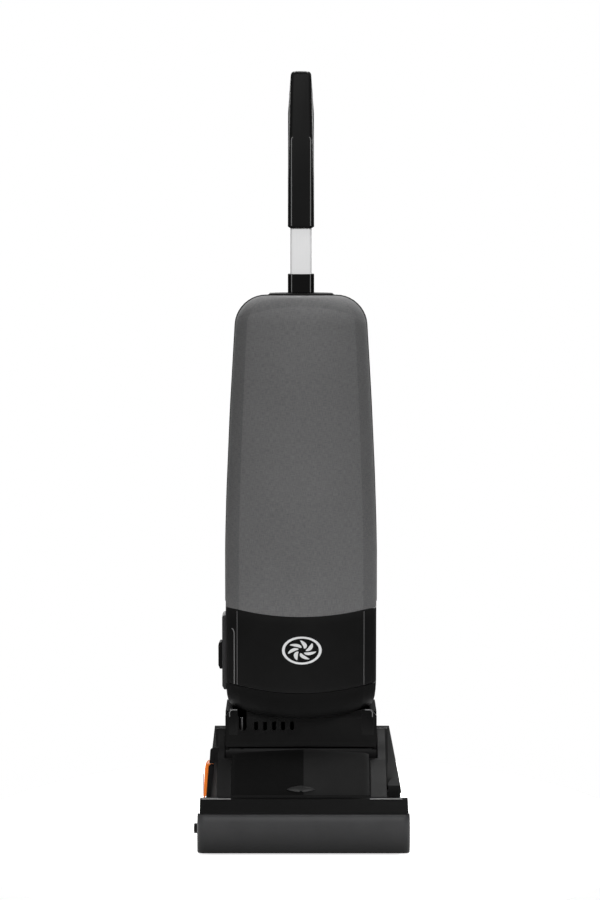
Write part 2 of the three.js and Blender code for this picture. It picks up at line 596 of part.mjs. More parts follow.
// ---- upright: handle ----
add('handle_collar', 'matte', cut(
  prism('z', [[-COLLAR.half, 66], [4 - COLLAR.half, COLLAR.front], [COLLAR.half - 4, COLLAR.front],
    [COLLAR.half, 66], [COLLAR.half, 94], [COLLAR.half - 4, COLLAR.back],
    [4 - COLLAR.half, COLLAR.back], [-COLLAR.half, 94]], COLLAR.bottom, COLLAR.top),
  ovalBar(TUBE.halfX + 0.4, TUBE.halfY + 0.4, 850, 900),
  bar('y', 2.8, 88, 99, [0, COLLAR.screwZ], 12),
));
add('handle_tube', 'aluminium', ovalBar(TUBE.halfX, TUBE.halfY, TUBE.bottom, TUBE.top)
  .subtract(ovalBar(TUBE.halfX - TUBE.wall, TUBE.halfY - TUBE.wall, 780, 1030)));
add('handle_screw', 'steel', union(
  bar('y', 2.5, 91.6, 99, [0, COLLAR.screwZ], 12),
  bar('y', 5, COLLAR.back + GAP, 101, [0, COLLAR.screwZ], 12),
));

const LOOP_OUTER = [[65, 965], [95, 965], [98, 1000], [122, 1024], [140, 1058], [149, 1095],
  [152, 1130], [148, 1165], [136, 1192], [116, 1208], [88, 1213], [74, 1210], [67, 1200], [65, 1188]];
const LOOP_INNER = [[88, 1036], [104, 1046], [119, 1072], [127, 1102], [130, 1132], [126, 1160],
  [116, 1178], [102, 1187], [88, 1184]];

function grip() {
  const { half, bottom, shoulder, top, topHalf } = GRIP;
  const face = [[-half, bottom], [half, bottom], [half, shoulder], [half - 4.2, 1206],
    [topHalf, top], [-topHalf, top], [4.2 - half, 1206], [-half, shoulder]];
  const body = prism('x', LOOP_OUTER, -half, half).intersect(prism('y', face, 60, 160));
  return cut(body, prism('x', LOOP_INNER, -half - 1, half + 1),
    ovalBar(TUBE.halfX + 0.3, TUBE.halfY + 0.3, 960, TUBE.top + 1),
    block([-15.1, 15.1], [60, 67], [968, 1194]),
    block([-7.5, 7.5], [82, 100], [1096, 1124]));
}
add('handle_grip', 'matte', grip());
add('grip_front_panel', 'gloss', block([-14.8, 14.8], [65.2, 66.7], [968.3, 1193.7]));
add('power_switch', 'bumper', block([-7, 7], [84.8, 90], [1098, 1122]));
add('carry_handle', 'matte', block([-50, 50], [CASE.back + GAP, 126], [796, 820])
  .subtract(block([-38, 38], [CASE.back - 2, 112], [790, 830])));

// ---- bag cover: soft case, black front cover, frame, seal, latch and badge ----
function softCase() {
  const outer = caseVolume(CASE.fabricFrom + GAP, CASE.top, 0, CASE.split);
  return outer.subtract(caseVolume(340, CASE.top - 5, 5, CASE.split + 5));
}

const badgeOval = (extra, y0, y1) => prism('y', oval(BADGE.halfX + extra, BADGE.halfZ + extra, 32)
  .map(([x, z]) => [x, z + BADGE.z]), y0, y1);

function lowerFrontCover() {
  const outer = loft([CASE.bottom + GAP, CASE.fabricFrom].map((z) => caseRing(z, 0, CASE.split)));
  const inner = loft([230, 370].map((z) => caseRing(z, WALL, CASE.split + 5, CASE.fabricFrom)));
  const badgeSeat = badgeOval(0.5, -90, -83.8);
  return cut(outer, inner, badgeSeat);
}

// An arch that follows the inside of the case at its open back.
function arch(outerInset, innerInset, y0, y1) {
  const band = caseVolume(246, CASE.top - outerInset, outerInset, CASE.split + 5)
    .subtract(caseVolume(240, CASE.top - innerInset, innerInset, CASE.split + 6));
  return band.intersect(block([-130, 130], [y0, y1], [240, 870]));
}

add('soft_case', 'fabric', softCase());
add('lower_front_cover', 'gloss', lowerFrontCover());
add('cover_frame', 'matte', cut(arch(5.4, 12, 27, CASE.split - GAP),
  block([-12.5, 12.5], [20, 40], [847, 852])));
add('cover_latch', 'bumper', block([-12, 12], [27, 35.5], [847.3, 851.7]));
add('cover_seal', 'rubber', arch(12.4, 15, 30, CASE.split - GAP));
add('emblem_badge', 'emblem', badgeOval(0, -86, -84.1));

export default group;
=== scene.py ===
"""Looks of the battery-powered upright vacuum cleaner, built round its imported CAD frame.

Sizes are in millimetres and turned into metres where a mesh is made. The front faces -Y, and
"left" is the side at -X.
"""

import math
from contextlib import contextmanager

import bmesh
import bpy
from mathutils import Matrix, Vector
from mathutils.bvhtree import BVHTree

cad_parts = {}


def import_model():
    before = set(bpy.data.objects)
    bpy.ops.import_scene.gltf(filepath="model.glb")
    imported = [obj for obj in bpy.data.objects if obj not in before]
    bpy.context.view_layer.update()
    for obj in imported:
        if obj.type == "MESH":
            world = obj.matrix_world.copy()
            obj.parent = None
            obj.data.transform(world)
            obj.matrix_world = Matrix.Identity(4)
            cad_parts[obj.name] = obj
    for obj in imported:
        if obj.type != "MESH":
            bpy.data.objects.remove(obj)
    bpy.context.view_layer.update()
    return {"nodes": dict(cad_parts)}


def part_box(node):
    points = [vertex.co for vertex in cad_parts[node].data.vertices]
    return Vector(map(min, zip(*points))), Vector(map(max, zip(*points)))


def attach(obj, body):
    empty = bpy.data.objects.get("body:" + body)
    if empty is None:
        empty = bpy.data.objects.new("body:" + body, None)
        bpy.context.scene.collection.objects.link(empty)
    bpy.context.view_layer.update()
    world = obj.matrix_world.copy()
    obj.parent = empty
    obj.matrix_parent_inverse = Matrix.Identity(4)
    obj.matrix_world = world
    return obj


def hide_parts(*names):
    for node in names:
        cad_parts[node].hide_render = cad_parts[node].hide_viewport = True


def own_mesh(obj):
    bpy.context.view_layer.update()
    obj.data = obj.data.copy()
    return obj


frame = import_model()
NODES = frame["nodes"]
MM = 0.001

# ---- the case's outline ----
CASE_HALF_WIDTH = 119.6
CASE_STRAIGHT_TO = 443  # above this height the sides draw in
CASE_TAPER = 0.0026
CASE_TAPER_POWER = 1.477
CASE_FRONT = -85
CASE_LEAN = 16
CASE_CREASE = 0.82  # share of the half width where the bowed front meets the side
CASE_SAGITTA = 30
CASE_SIDE_BAND = 75
CASE_CORNER = 45
CASE_TOP_PULL = 0.7  # how much of the corner's rounding the front follows backwards
CASE_BOTTOM = 245.4
CASE_SPLIT = 36  # depth of the seam with the back housing
CREASE_BLEND = 2.6
SIDE_LEAVE = (0.55, 0.325)  # the side's curve: where its handles stand, as shares of its reach
SIDE_ARRIVE = 0.53
FABRIC_FROM = 366
FABRIC_TOP = 859
SHADED_TOP_FROM = 845  # painted shade darkens the fabric above an arch that starts here
SHADED_TOP_ARCH = 0.0021
SEAM_GAP = 0.3
PARTING_DIP = 7
BOWL_BOTTOM = 197.8
BOWL_RISE = 8

# ---- pieces placed by more than one function ----
BADGE = {"x": 1.3, "z": 310, "half_x": 31, "half_z": 22}
LID = {"left": -108, "right": 107, "ridge": 3, "half_width": 112}
GRIP_OUTER = [(65, 965, 2), (95, 965, 2), (98, 1002, 22), (124, 1026, 30), (144, 1066, 36),
              (152, 1125, 40), (147, 1172, 26), (128, 1202, 22), (98, 1213, 22), (65, 1213, 9)]
GRIP_INNER = [(88, 1036, 9), (106, 1046, 16), (123, 1078, 26), (130, 1128, 28), (124, 1166, 18),
              (108, 1186, 16), (88, 1186, 9)]
GRIP_HALF_WIDTH = 21

# ---- shading of meshes, degrees ----
SHARP = 40
BEVEL_FROM = 35


def lerp(a, b, t):
    return a + (b - a) * t


def bezier(p0, p1, p2, p3, t):
    s = 1 - t
    return tuple(s ** 3 * a + 3 * s * s * t * b + 3 * s * t * t * c + t ** 3 * d
                 for a, b, c, d in zip(p0, p1, p2, p3))


# ---- meshes ----
@contextmanager
def editing(mesh):
    """A mesh opened for edits, which are written back at the end."""
    work = bmesh.new()
    work.from_mesh(mesh)
    yield work
    work.to_mesh(mesh)
    work.free()


def shade(mesh, sharp):
    """Smooth shading; edges sharper than `sharp` degrees stay hard."""
    mesh.shade_smooth()
    mesh.set_sharp_from_angle(angle=math.radians(sharp))


def make(name, points, faces, look, body, sharp=SHARP):
    """A mesh piece from points in millimetres, riding on a body."""
    mesh = bpy.data.meshes.new(name)
    mesh.from_pydata([Vector(p) * MM for p in points], [], faces)
    mesh.validate()
    mesh.update()
    shade(mesh, sharp)
    piece = bpy.data.objects.new(name, mesh)
    bpy.context.scene.collection.objects.link(piece)
    mesh.materials.append(look)
    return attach(piece, body)


def grid(rows, closed=False):
    """Faces between neighbouring rows of equally many points, listed one row after another."""
    count = len(rows[0])
    last = count if closed else count - 1
    faces = []
    for level in range(len(rows) - 1):
        for i in range(last):
            j = (i + 1) % count
            low, high = level * count, (level + 1) * count
            faces.append((low + i, low + j, high + j, high + i))
    return faces


def flat(rows):
    """The points of all rows in one list."""
    return [point for row in rows for point in row]


def bridge(first, count):
    """Faces across an open outline, from each point to the one mirrored on the other side."""
    faces = []
    for i in range(count // 2 - 1):
        j = count - 1 - i
        faces.append((first + i, first + i + 1, first + j - 1, first + j))
    if count % 2:
        middle = count // 2
        faces.append((first + middle - 1, first + middle, first + middle + 1))
    return faces


def tidy_mesh(mesh):
    """Joins doubled points, merges flat triangles and turns all faces outwards."""
    with editing(mesh) as work:
        bmesh.ops.remove_doubles(work, verts=work.verts, dist=0.01 * MM)
        bmesh.ops.dissolve_limit(work, angle_limit=math.radians(0.5), verts=work.verts,
                                 edges=work.edges)
        bmesh.ops.recalc_face_normals(work, faces=work.faces)


def from_curve(name, curve, look, body, place):
    """Turns a curve into a mesh piece; `place` maps the curve's own axes to the machine's."""
    drawn = bpy.data.objects.new(name, curve)
    bpy.context.scene.collection.objects.link(drawn)
    graph = bpy.context.evaluated_depsgraph_get()
    mesh = bpy.data.meshes.new_from_object(drawn.evaluated_get(graph))
    bpy.data.objects.remove(drawn)
    points = [place(*(value / MM for value in vertex.co)) for vertex in mesh.vertices]
    faces = [tuple(face.vertices) for face in mesh.polygons]
    bpy.data.meshes.remove(mesh)
    piece = make(name, points, faces, look, body)
    tidy_mesh(piece.data)
    shade(piece.data, SHARP)
    return piece


def slab(name, axis, outlines, low, high, edge, look, body, steps=3):
    """A slab with rounded rims: a closed outline, and any holes in it, pushed along an axis."""
    curve = bpy.data.curves.new(name, "CURVE")
    curve.dimensions = "2D"
    curve.fill_mode = "BOTH"
    curve.extrude = ((high - low) / 2 - edge) * MM
    curve.bevel_depth = edge * MM
    curve.offset = -edge * MM
    curve.bevel_resolution = steps
    for outline in outlines:
        spline = curve.splines.new("POLY")
        spline.points.add(len(outline) - 1)
        for point, (u, v) in zip(spline.points, outline):
            point.co = (u * MM, v * MM, 0, 1)
        spline.use_cyclic_u = True
    middle = (low + high) / 2
    places = {
        "x": lambda u, v, w: (w + middle, u, v),
        "y": lambda u, v, w: (u, w + middle, v),
        "z": lambda u, v, w: (u, v, w + middle),
    }
    return from_curve(name, curve, look, body, places[axis])


def rod(name, path, radius, look, body):
    """A round wire or bead along a path of points."""
    curve = bpy.data.curves.new(name, "CURVE")
    curve.dimensions = "3D"
    curve.bevel_depth = radius * MM
    curve.bevel_resolution = 3
    curve.use_fill_caps = True
    spline = curve.splines.new("POLY")
    spline.points.add(len(path) - 1)
    for point, (x, y, z) in zip(spline.points, path):
        point.co = (x * MM, y * MM, z * MM, 1)
    return from_curve(name, curve, look, body, lambda x, y, z: (x, y, z))


def rounded(corners):
    """A closed outline from (u, v, radius) corners, each turned into an arc-like bend."""
    outline = []
    count, steps = len(corners), 6
    for i, (u, v, radius) in enumerate(corners):
        if not radius:
            outline.append((u, v))
            continue
        ends = []
        for other in (corners[i - 1], corners[(i + 1) % count]):
            run = math.dist((u, v), other[:2])
            share = min(radius / run, 0.5)
            ends.append((lerp(u, other[0], share), lerp(v, other[1], share)))
        for k in range(steps + 1):
            t = k / steps
            outline.append(tuple((1 - t) ** 2 * a + 2 * t * (1 - t) * b + t * t * c
                                 for a, b, c in zip(ends[0], (u, v), ends[1])))
    return outline


def oval(half_u, half_v, u=0, v=0, sides=48):
    """An ellipse's outline round (u, v)."""
    return [(u + half_u * math.cos(math.tau * i / sides), v + half_v * math.sin(math.tau * i / sides))
            for i in range(sides)]


def rings(profile, sides, scale=1):
    """Rings round Z from (radius, height) pairs; the radii are multiplied by `scale`."""
    return [[(x, y, height) for x, y in oval(scale * radius, scale * radius, sides=sides)]
            for radius, height in profile]


def standing(points, foot, axis):
    """Points laid out round Z, moved to `foot` with Z turned to `axis`."""
    turn = Vector(axis).to_track_quat("Z", "Y")
    return [tuple(turn @ Vector(point) + Vector(foot)) for point in points]


def modifier(piece, kind, **settings):
    """Adds a modifier to a piece."""
    added = piece.modifiers.new(kind.title(), kind)
    for key, value in settings.items():
        setattr(added, key, value)


def soften(piece, width, segments):
    """Rounds the hard edges and evens out the shading."""
    modifier(piece, "BEVEL", width=width * MM, segments=segments, limit_method="ANGLE",
             angle_limit=math.radians(BEVEL_FROM), use_clamp_overlap=True)
    modifier(piece, "WEIGHTED_NORMAL", keep_sharp=False, weight=100)


def thicken(piece, wall):
    """Gives a skin a wall, with its rim kept crisp."""
    with editing(piece.data) as work:
        for edge in work.edges:
            if edge.is_boundary:
                edge.smooth = False
    modifier(piece, "SOLIDIFY", thickness=wall * MM, offset=-1, use_even_offset=True)


def stand_for(node):
    """The piece is shown instead of a CAD node, which is hidden."""
    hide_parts(node)


# ---- materials ----
class Look:
    """A node material with a Principled shader; textures use the object's own metres."""

    def __init__(self, name, **sockets):
        self.material = bpy.data.materials.new(name)
        self.material.use_nodes = True
        self.tree = self.material.node_tree
        self.shader = self.tree.nodes["Principled BSDF"]
        self.place = self.tree.nodes.new("ShaderNodeTexCoord").outputs["Object"]
        for socket, value in sockets.items():
            self.shader.inputs[socket.replace("_", " ")].default_value = value

    def node(self, kind, inputs=(), **settings):
        made = self.tree.nodes.new("ShaderNode" + kind)
        for key, value in settings.items():
            setattr(made, key, value)
        for key, value in dict(inputs).items():
            if isinstance(value, bpy.types.NodeSocket):
                self.tree.links.new(value, made.inputs[key])
            else:
                made.inputs[key].default_value = value
        return made

    def link(self, socket, value):
        self.tree.links.new(value, self.shader.inputs[socket])

    def math(self, operation, *values):
        return self.node("Math", enumerate(values), operation=operation).outputs[0]

    def noise(self, scale, detail=2, stretch=(1, 1, 1), place=None):
        mapped = self.node("Mapping", {"Vector": place or self.place, "Scale": stretch})
        return self.node("TexNoise", {"Vector": mapped.outputs[0], "Scale": scale,
                                      "Detail": detail}).outputs["Fac"]

    def mapped(self, value, low, high, start=0.3, end=0.7):
        """The value's run from `start` to `end` stretched to run from `low` to `high`."""
        return self.node("MapRange", {"Value": value, "From Min": start, "From Max": end,
                                      "To Min": low, "To Max": high}).outputs["Result"]

    def shades(self, value, dark, light):
        """A colour between two tones, picked by a value from 0 to 1."""
        ramp = self.node("ValToRGB", {"Fac": value})
        ramp.color_ramp.elements[0].color = (*dark, 1)
        ramp.color_ramp.elements[1].color = (*light, 1)
        return ramp.outputs["Color"]

    def mix(self, amount, first, second, blend="MIX"):
        mixer = self.node("Mix", data_type="RGBA", blend_type=blend)
        for socket, value in ((mixer.inputs[0], amount), (mixer.inputs[6], first),
                              (mixer.inputs[7], second)):
            if isinstance(value, bpy.types.NodeSocket):
                self.tree.links.new(value, socket)
            elif isinstance(value, tuple):
                socket.default_value = (*value, 1)
            else:
                socket.default_value = value
        return mixer.outputs[2]

    def dimmed(self, colour, factor):
        """A colour multiplied by a grey value."""
        grey_value = self.node("CombineColor", {"Red": factor, "Green": factor, "Blue": factor})
        return self.mix(1.0, colour, grey_value.outputs[0], "MULTIPLY")

    def worn_edges(self):
        """1 on convex edges, 0 on flat and hollow places."""
        return self.mapped(self.node("NewGeometry").outputs["Pointiness"], 0, 1, 0.52, 0.6)

    def bump(self, height, strength, depth):
        bumped = self.node("Bump", {"Height": height, "Strength": strength,
                                    "Distance": depth * MM})
        self.link("Normal", bumped.outputs[0])


def grey(level):
    return (level, level, level)


def toned(colour, factor):
    return tuple(channel * factor for channel in colour)


def plastic(name, colour, roughness, specular, grain=1600, depth=0.05, wear=1.6):
    """Moulded plastic: faint cloudiness, fine grain and slightly paler worn edges."""
    cloud_scale, smear_scale, smear = 14, 40, 0.02
    look = Look(name, Specular_IOR_Level=specular)
    cloud = look.mapped(look.noise(cloud_scale, 3), 0, 1)
    body = look.shades(cloud, toned(colour, 0.9), toned(colour, 1.1))
    look.link("Base Color", look.mix(look.worn_edges(), body, toned(colour, wear)))
    look.link("Roughness", look.mapped(look.noise(smear_scale, 4), roughness - smear,
                                       roughness + smear))
    look.bump(look.noise(grain, 2), 0.25, depth)
    return look.material


def metal(name, colour, roughness, stretch, shine=1.0):
    """Drawn or brushed metal with fine streaks across `stretch`; less shine looks anodised."""
    streak_scale, smear = 500, 0.04
    look = Look(name, Metallic=shine)
    streak = look.noise(streak_scale, 3, stretch)
    look.link("Base Color", look.shades(streak, toned(colour, 0.95), toned(colour, 1.03)))
    look.link("Roughness", look.mapped(streak, roughness - smear, roughness + smear))
    return look.material


def fleece(name, colour, scale, depth):
    """Soft fibrous filter material."""
    look = Look(name, Roughness=0.95, Specular_IOR_Level=0.1, Sheen_Weight=0.2)
    fibre = look.noise(scale, 6)
    look.link("Base Color", look.shades(look.mapped(fibre, 0, 1), toned(colour, 0.8), colour))
    look.bump(fibre, 0.6, depth)
    return look.material


def bumper_with_painted_shade(name, colour):
    """Soft grey bumper plastic with painted shade that darkens it towards the floor."""
    shade_full_below, shade_ends_above = 6, 50
    look = Look(name, Specular_IOR_Level=0.15, Roughness=0.45)
    height = look.node("SeparateXYZ", {"Vector": look.place}).outputs["Z"]
    # painted shade: the tone falls to a twentieth of itself near the floor
    unshaded_share = look.mapped(height, 0, 1, shade_full_below * MM, shade_ends_above * MM)
    base = look.shades(unshaded_share, toned(colour, 0.05), colour)
    cloud = look.mapped(look.noise(30, 3), 0.93, 1.06)
    look.link("Base Color", look.dimmed(base, cloud))
    look.bump(look.noise(900, 2), 0.25, 0.1)
    return look.material


def woven_fabric(name, colour):
    """Tight plain weave in two greys, with slubs along both threads."""
    pitch = 1.1
    along, across = 1.1, 0.12
    look = Look(name, Roughness=0.92, Specular_IOR_Level=0.12, Sheen_Weight=0.08,
                Sheen_Roughness=0.5)
    threads = look.node("UVMap", uv_map="threads").outputs["UV"]
    waves = []
    for direction in ("X", "Y"):
        wave = look.node("TexWave", {"Vector": threads, "Scale": 1 / (pitch * math.tau) * 10,
                                     "Distortion": 0.6, "Detail": 1, "Detail Scale": 2},
                         bands_direction=direction, wave_profile="SIN")
        waves.append(wave.outputs["Fac"])
    weave = look.math("MULTIPLY", *waves)
    warp = look.noise(1, 3, (along, across, 1), threads)
    weft = look.noise(1, 3, (across, along, 1), threads)
    tone = look.mapped(look.math("ADD", warp, weft), 0, 1, 0.8, 1.2)
    cloth = look.shades(tone, toned(colour, 0.84), toned(colour, 1.14))
    soiled = look.dimmed(cloth, look.mapped(look.noise(6, 3), 0.94, 1.05))
    # painted shade over the top border, above the arched front panel
    look.link("Base Color", look.dimmed(soiled, top_painted_shade(look)))
    look.bump(look.math("ADD", weave, tone), 0.5, 0.2)
    return look.material


def top_painted_shade(look):
    """1 on the case's arched front panel, and less above it, where shade is painted on the top
    border.
    """
    axes = look.node("SeparateXYZ", {"Vector": look.place}).outputs
    squared = look.math("MULTIPLY", axes["X"], axes["X"])
    arched = look.math("MULTIPLY_ADD", squared, SHADED_TOP_ARCH / MM, axes["Z"])
    return look.mapped(arched, 1, 0.88, (SHADED_TOP_FROM - 1) * MM, (SHADED_TOP_FROM + 1) * MM)


# name: colour, roughness, specular, then grain scale, grain depth in mm and worn edges' tone
PLASTICS = {
    "black_matte": (grey(0.005), 0.5, 0.1, 1100, 0.08),
    "black_gloss": (grey(0.004), 0.3, 0.12),
    "neck_black": (grey(0.0045), 0.3, 0.12),
    "black_bowl": (grey(0.0062), 0.45, 0.03),
    "cover_gloss": (grey(0.0095), 0.3, 0.12),
    "band_black": (grey(0.0045), 0.5, 0.05),
    "head_black": (grey(0.008), 0.7, 0.05, 900, 0.08),
    # the centre cover's two halves: one painted darker as shade, one paler as light
    "dome_painted_shade": (grey(0.006), 0.6, 0.02),
    "dome_painted_light": (grey(0.017), 0.6, 0.02),
    "pale_plate": ((0.4, 0.42, 0.45), 0.5, 0.3),
    "grip_gloss": (grey(0.0125), 0.45, 0.05),
    "black_satin": (grey(0.009), 0.4, 0.16),
    # painted highlights: pale tones on thin beads, rods and rims, so they read as lit edges
    "dim_painted_highlight": (grey(0.09), 0.3, 0.4, 1600, 0.02, 1.1),
    "bright_painted_highlight": (grey(0.2), 0.35, 0.4, 1600, 0.02, 1.1),
    "black_grip": (grey(0.008), 0.6, 0.08, 700, 0.15),
    "grey_bumper": ((0.032, 0.033, 0.034), 0.45, 0.15, 900, 0.1, 1.25),
    "grey_door": ((0.042, 0.042, 0.043), 0.5, 0.25, 900, 0.1, 1.25),
    "orange_plastic": ((0.84, 0.19, 0.018), 0.45, 0.25, 900, 0.05, 1.1),
    "thread": (grey(0.06), 0.8, 0.1, 2500, 0.05, 1.1),
    "bristle": ((0.02, 0.02, 0.022), 0.7, 0.2, 2500, 0.4),
    "rubber": (grey(0.01), 0.75, 0.2, 600, 0.1, 1.4),
    "circuit_board": ((0.02, 0.11, 0.04), 0.5, 0.4, 300, 0.2),
    "badge": ((0.72, 0.725, 0.73), 0.35, 0.4, 900, 0.03, 1.05),
}
# name: colour, roughness, how the streaks are stretched, shine
METALS = {
    "aluminium": ((0.75, 0.755, 0.765), 0.4, (2, 2, 0.02)),
    "tube": ((0.975, 0.977, 0.98), 0.5, (2, 2, 0.02), 0.0),
    "steel": ((0.45, 0.46, 0.48), 0.3, (1, 1, 1)),
    "dark_steel": (grey(0.2), 0.35, (1, 1, 0.1)),
}
# name: colour, fibre scale, fibre depth in mm
FLEECES = {
    "bag_fleece": ((0.7, 0.66, 0.56), 300, 0.4),
    "foam": ((0.07, 0.09, 0.12), 900, 0.8),
}
FABRIC_TONE = (0.158, 0.158, 0.159)
BUMPER_TONE = (0.0355, 0.0355, 0.0365)
# painted shade: the side panels, where the case turns away from the front, get this share of the
# fabric's tone
SIDE_PAINTED_SHADE = 0.86

LOOKS = {name: plastic(name, *values) for name, values in PLASTICS.items()}
LOOKS.update({name: metal(name, *values) for name, values in METALS.items()})
LOOKS.update({name: fleece(name, *values) for name, values in FLEECES.items()})
# bumper material with painted shade towards the floor
LOOKS["bumper_painted_shade"] = bumper_with_painted_shade("bumper_painted_shade", BUMPER_TONE)
LOOKS["case_fabric"] = woven_fabric("case_fabric", FABRIC_TONE)
# a copy of the fabric painted darker as shade, for the side panels
LOOKS["case_fabric_painted_shade"] = woven_fabric("case_fabric_painted_shade", toned(FABRIC_TONE, SIDE_PAINTED_SHADE))

# ---- CAD nodes that keep their shape: look, and each node's edge rounding in millimetres ----
CAD_LOOKS = {
    "black_matte": {
        "head_base": 1.5, "brush_tunnel": 0, "brush_end_cap": 1.5, "drive_dog": 0,
        "suction_duct": 0, "recline_pedal": 1.2, "back_housing": 2.5, "motor_cup": 0,
        "compartment_floor": 0, "bag_holder": 0, "suction_riser": 0, "battery_pack": 2,
        "carry_handle": 4, "cover_frame": 0, "door_latch": 1,
    },
    "neck_black": {"neck_housing": 2},
    "head_black": {"head_cover": 2.5},
    "band_black": {"front_trim_band": 1, "handle_collar": 1.2},
    "grey_bumper": {
        "pivot_bush_left": 0, "pivot_bush_right": 0, "battery_latch": 0.8, "power_switch": 1,
        "cover_latch": 0.8,
    },
    "grey_door": {"exhaust_door": 1.5},
    "bag_fleece": {"filter_bag": 4, "bag_collar": 0, "exhaust_filter": 0},
    "foam": {"motor_filter": 0},
    "bristle": {"brush_roller": 0},
    "rubber": {
        "drive_belt": 0, "rear_wheel_left": 2, "rear_wheel_right": 2, "front_glide_left": 0.8,
        "front_glide_right": 0.8, "wiring_loom": 0, "cover_seal": 0,
    },
    "aluminium": {"impeller": 0},
    "steel": {
        "brush_motor": 0, "motor_pulley": 0, "wheel_axle": 0, "pivot_pin_left": 0.8,
        "pivot_pin_right": 0.8, "pedal_pin": 0.4, "suction_motor": 0, "battery_contacts": 0,
        "handle_screw": 0.6,
    },
    "dark_steel": {"lock_rod": 0.8},
    "circuit_board": {"control_board": 0},
}
LEAST_EDGE = 0.2


def dress_cad_nodes():
    """Gives each visible CAD node its material and softened edges."""
    for look, nodes in CAD_LOOKS.items():
        for name, edge in nodes.items():
            node = NODES[name]
            node.data.materials.clear()
            node.data.materials.append(LOOKS[look])
            node.data.shade_smooth()
            modifier(node, "WELD", merge_threshold=0.02 * MM)
            modifier(node, "DECIMATE", decimate_type="DISSOLVE", angle_limit=math.radians(1.5))
            soften(node, max(edge, LEAST_EDGE), 3 if edge else 1)


# ---- the case's outline, shared by the fabric, the front cover and the bowl ----
def rounding(z):
    """How far the top corners draw in at a height."""
    rise = min(max(0, z - (FABRIC_TOP - CASE_CORNER)), CASE_CORNER)
    return CASE_CORNER - math.sqrt(CASE_CORNER ** 2 - rise ** 2)


def half_width(z):
    taper = CASE_TAPER * max(0, z - CASE_STRAIGHT_TO) ** CASE_TAPER_POWER
    return CASE_HALF_WIDTH - taper - rounding(z)


def front_y(z):
    lean = CASE_LEAN * max(0, z - FABRIC_FROM) / (FABRIC_TOP - FABRIC_FROM)
    return CASE_FRONT + lean + CASE_TOP_PULL * rounding(z)


def bow(x, z):
    """Y of the bowed front at a height."""
    return front_y(z) + CASE_SAGITTA * (x / (CASE_CREASE * half_width(z))) ** 2


def case_outline(z, inset=0, back=CASE_SPLIT):
    """(x, y) points of the case at a height, from the left rear edge round the front."""
    wide = half_width(z) - inset
    crease = wide * CASE_CREASE
    front = front_y(z) + inset
    side_y = min(front + CASE_SIDE_BAND, back - 2)
    crease_y = front + CASE_SAGITTA
    steps = 18
    half = [(x, front + CASE_SAGITTA * (x / crease) ** 2)
            for x in [(crease - CREASE_BLEND) * i / steps for i in range(1, steps + 1)]]
    reach = (wide - crease, side_y - crease_y)
    handle = (SIDE_LEAVE[0] * reach[0], SIDE_LEAVE[1] * reach[1])
    side = ((crease, crease_y), (crease + handle[0], crease_y + handle[1]),
            (wide, side_y - SIDE_ARRIVE * reach[1]), (wide, side_y))
    share = CREASE_BLEND / math.hypot(*handle) / 3
    before, after = half[-1], bezier(*side, share)
    for t in (0.25, 0.5, 0.75):
        low = [lerp(a, b, t) for a, b in zip(before, side[0])]
        high = [lerp(a, b, t) for a, b in zip(side[0], after)]
        half.append(tuple(lerp(a, b, t) for a, b in zip(low, high)))
    bends = 10
    half += [bezier(*side, lerp(share, 1, i / bends)) for i in range(bends + 1)]
    half += [(wide, lerp(side_y, back, t)) for t in (0.33, 0.66, 1)]
    return [(-x, y) for x, y in reversed(half)] + [(0, front)] + half


def dip(x):
    """How far the parting lines sag in the middle of the front and rise at its sides."""
    return PARTING_DIP * (min(1, abs(x) / (CASE_CREASE * CASE_HALF_WIDTH)) ** 2 - 0.5)


def case_row(z, inset=0, fade=0):
    """The case's outline at a height, following that share of the parting lines' sag."""
    return [(x, y, z + fade * dip(x)) for x, y in case_outline(z, inset)]


def side_band_y(x):
    """Y of the front cover's side band at an x."""
    outline = [(px, py) for px, py in case_outline(300) if px <= 0]
    for (x0, y0), (x1, y1) in zip(outline, outline[1:]):
        if x0 <= x <= x1 and x1 > x0:
            return lerp(y0, y1, (x - x0) / (x1 - x0))
    return CASE_FRONT


def back_edge(inset, y, drop=0):
    """Path up one side of the case, over its top and down the other, at a depth."""
    pitch, bends = 8, 10
    levels = list(range(FABRIC_FROM + 4, FABRIC_TOP - CASE_CORNER, pitch))
    levels += [FABRIC_TOP - CASE_CORNER * (1 - math.sin(math.pi / 2 * i / bends)) - drop
               for i in range(bends + 1)]
    side = [(half_width(z + drop) - inset, y, z) for z in levels]
    return [(-x, py, z) for x, py, z in side] + side[::-1]


# ---- bag cover ----
def lay_threads(piece, rows):
    """UV map in millimetres of cloth: along the outline, and up."""
    lengths = []
    for row in rows:
        run = [0.0]
        for a, b in zip(row, row[1:]):
            run.append(run[-1] + math.dist(a, b))
        lengths += [(value - run[-1] / 2, row[0][2]) for value in run]
    layer = piece.data.uv_layers.new(name="threads")
    for loop in piece.data.loops:
        layer.data[loop.index].uv = lengths[loop.vertex_index]


def soft_case():
    """Taut textile shell: a bowed front panel, side panels painted darker as shade and a rounded top.
    """
    foot = [(FABRIC_FROM + SEAM_GAP, 1), (368, 1), (371, 0.9), (376, 0.75), (384, 0.5),
            (402, 0.2), (430, 0)]
    corner, bends = FABRIC_TOP - CASE_CORNER, 14
    levels = list(range(460, corner, 12))
    levels += [corner + CASE_CORNER * math.sin(math.pi / 2 * i / bends) for i in range(bends + 1)]
    rows = [case_row(z, fade=fade) for z, fade in foot] + [case_row(z) for z in levels]
    count = len(rows[0])
    faces = grid(rows) + bridge((len(rows) - 1) * count, count)
    piece = make("soft_case_fabric", flat(rows), faces, LOOKS["case_fabric"], "bag_cover", 80)
    piece.data.materials.append(LOOKS["case_fabric_painted_shade"])
    # faces past the crease take the copy painted darker as shade
    for face in piece.data.polygons:
        x, _, z = face.center / MM
        if abs(x) > CASE_CREASE * half_width(min(z, FABRIC_TOP)):
            face.material_index = 1
    lay_threads(piece, rows)
    thicken(piece, 4.5)
    stand_for("soft_case")


